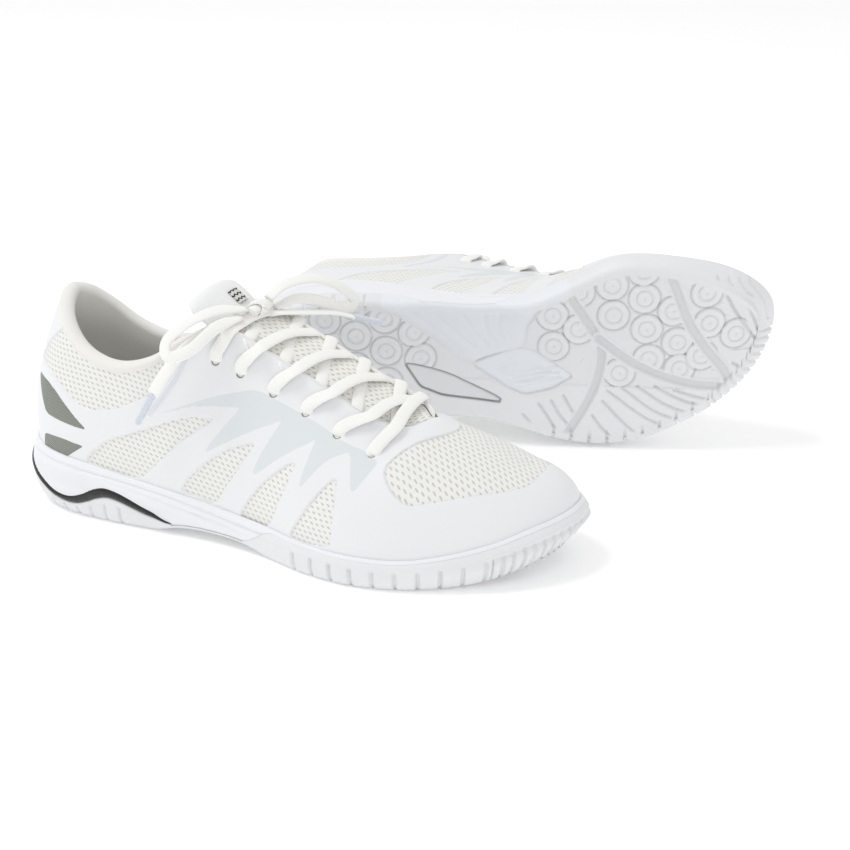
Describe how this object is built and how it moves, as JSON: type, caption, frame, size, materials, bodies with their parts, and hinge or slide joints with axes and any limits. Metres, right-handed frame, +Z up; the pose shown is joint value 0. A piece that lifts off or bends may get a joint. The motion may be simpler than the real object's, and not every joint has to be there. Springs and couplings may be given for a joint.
{
  "type": "pair of cheer shoes",
  "caption": "Pair of white lace-up cheer shoes with mesh uppers and ridged rubber soles; one stands, the other lies on its outer side with the sole showing.",
  "frame": {"origin": "on the floor, under the middle of the pair's footprint measured without the laces", "axes": "+X from heel to toe of the standing right shoe, +Y towards its inner side and the lying left shoe, +Z up"},
  "size_m": [0.3422, 0.3338, 0.1198],
  "materials": {
    "rubber": "matt non-marking rubber",
    "foam": "smooth EVA foam, satin",
    "shank": "slightly translucent moulded plate",
    "dark_insert": "glossy dark moulded insert",
    "board": "stitched lasting board and stiffener",
    "lining": "brushed knit",
    "mesh": "open engineered mesh",
    "film": "fused polyurethane film, satin",
    "patch": "printed dotted film",
    "tab": "padded synthetic leather",
    "label": "plain woven label",
    "lace": "flat woven polyester",
    "aglet": "clear moulded tip"
  },
  "bodies": {
    "right_shoe": {"right_outsole_forefoot": "rubber", "right_outsole_heel": "rubber", "right_midsole": "foam", "right_shank": "shank", "right_heel_wave": "dark_insert", "right_strobel_board": "board", "right_insole": "lining", "right_upper_vamp": "mesh", "right_upper_outer": "mesh", "right_upper_inner": "mesh", "right_film_toe": "film", "right_film_outer": "film", "right_film_inner": "film", "right_heel_counter": "board", "right_collar_lining": "lining", "right_heel_patch_high": "patch", "right_heel_patch_low": "patch", "right_tongue": "mesh", "right_lace_a": "lace", "right_lace_b": "lace", "right_lace_bar": "lace", "right_bow_knot": "lace", "right_bow_loop_outer": "lace", "right_bow_loop_inner": "lace", "right_bow_tail_outer": "lace", "right_bow_tail_inner": "lace", "right_aglet_outer": "aglet", "right_aglet_inner": "aglet"},
    "right_tongue_top": {"right_tongue_tab": "tab", "right_tongue_label": "label"},
    "left_shoe": {"left_outsole_forefoot": "rubber", "left_outsole_heel": "rubber", "left_midsole": "foam", "left_shank": "shank", "left_heel_wave": "dark_insert", "left_strobel_board": "board", "left_insole": "lining", "left_upper_vamp": "mesh", "left_upper_outer": "mesh", "left_upper_inner": "mesh", "left_film_toe": "film", "left_film_outer": "film", "left_film_inner": "film", "left_heel_counter": "board", "left_collar_lining": "lining", "left_heel_patch_high": "patch", "left_heel_patch_low": "patch", "left_tongue": "mesh", "left_lace_a": "lace", "left_lace_b": "lace", "left_lace_bar": "lace", "left_bow_knot": "lace", "left_bow_loop_outer": "lace", "left_bow_loop_inner": "lace", "left_bow_tail_outer": "lace", "left_bow_tail_inner": "lace", "left_aglet_outer": "aglet", "left_aglet_inner": "aglet"},
    "left_tongue_top": {"left_tongue_tab": "tab", "left_tongue_label": "label"}
  },
  "joints": [
    {"name": "pair_apart", "type": "slide", "parent": "right_shoe", "child": "left_shoe", "axis": [0, 1, 0], "range_m": [0, 0.15]},
    {"name": "right_tongue_flex", "type": "hinge", "parent": "right_shoe", "child": "right_tongue_top", "pos_m": [-0.04006, -0.09098, 0.0996], "axis": [0, -1, 0], "range_deg": [0, 20], "stiffness_Nm_per_rad": 0.02},
    {"name": "left_tongue_flex", "type": "hinge", "parent": "left_shoe", "child": "left_tongue_top", "pos_m": [-0.01019, 0.13226, 0.06189], "axis": [0.0065, -0.1086, 0.9941], "range_deg": [0, 20], "stiffness_Nm_per_rad": 0.02}
  ]
}
